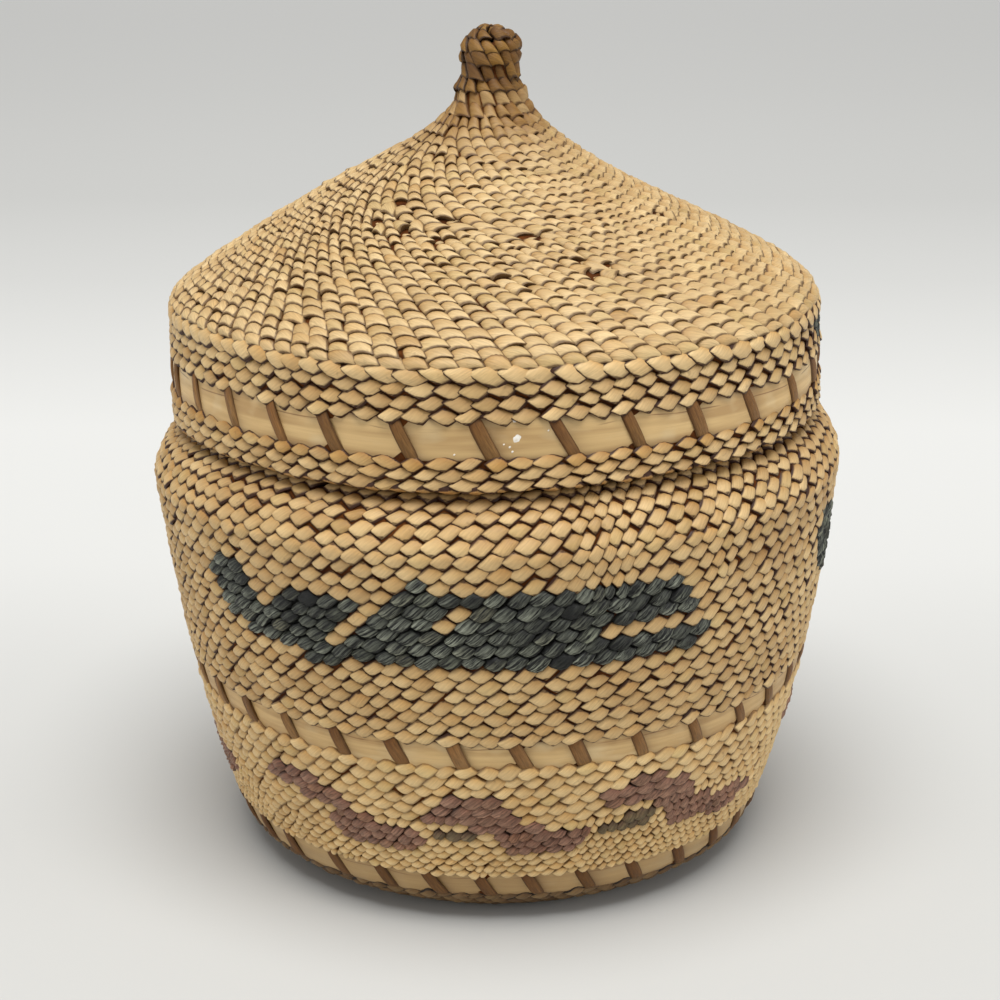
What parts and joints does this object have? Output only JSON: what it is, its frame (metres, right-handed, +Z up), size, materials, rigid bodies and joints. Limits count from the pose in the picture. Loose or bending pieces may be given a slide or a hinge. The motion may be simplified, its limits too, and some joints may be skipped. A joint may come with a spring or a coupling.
{
  "type": "lidded basket",
  "caption": "Small round twined basket with bands of crossing warps, a plaited base mat, and a fitted cone lid with a knob that lifts off",
  "frame": {"origin": "On the floor under the basket's axis, at the middle of the foot", "axes": "+Z is up along the basket's axis, through the lid and its knob; -Y faces the viewer, +X is to the viewer's right"},
  "size_m": [0.08, 0.08, 0.0951],
  "materials": {
    "straw_weave": "wrapped grass stitches, pale straw colour, satin",
    "dark_weave": "dyed grass stitches, near black, matt",
    "mauve_weave": "dyed grass stitches, faded mauve brown, satin",
    "band_strip": "flat smooth strip with fine lengthwise grain",
    "bark_warps": "split cedar bark, brown, fibrous",
    "mat_bark": "flat bark strips, brown, fibrous"
  },
  "bodies": {
    "basket": {"foot_twining": "straw_weave", "base_band": "band_strip", "base_band_warps": "bark_warps", "lower_wall": "straw_weave", "middle_band": "band_strip", "middle_band_warps": "bark_warps", "upper_wall": "straw_weave", "neck": "straw_weave", "neck_binding": "bark_warps", "mat_strip_long_1": "mat_bark", "mat_strip_long_2": "mat_bark", "mat_strip_long_3": "mat_bark", "mat_strip_long_4": "mat_bark", "mat_strip_long_5": "mat_bark", "mat_strip_long_6": "mat_bark", "mat_strip_long_7": "mat_bark", "mat_strip_cross_1": "mat_bark", "mat_strip_cross_2": "mat_bark", "mat_strip_cross_3": "mat_bark", "mat_strip_cross_4": "mat_bark", "mat_strip_cross_5": "mat_bark", "mat_strip_cross_6": "mat_bark", "mat_strip_cross_7": "mat_bark"},
    "lid": {"lid_rim": "straw_weave", "lid_skirt": "straw_weave", "lid_band": "band_strip", "lid_band_warps": "bark_warps", "lid_crown": "straw_weave", "finial": "straw_weave"}
  },
  "joints": [
    {"name": "lid_lift", "type": "slide", "parent": "basket", "child": "lid", "axis": [0, 0, 1], "range_m": [0, 0.08]}
  ]
}
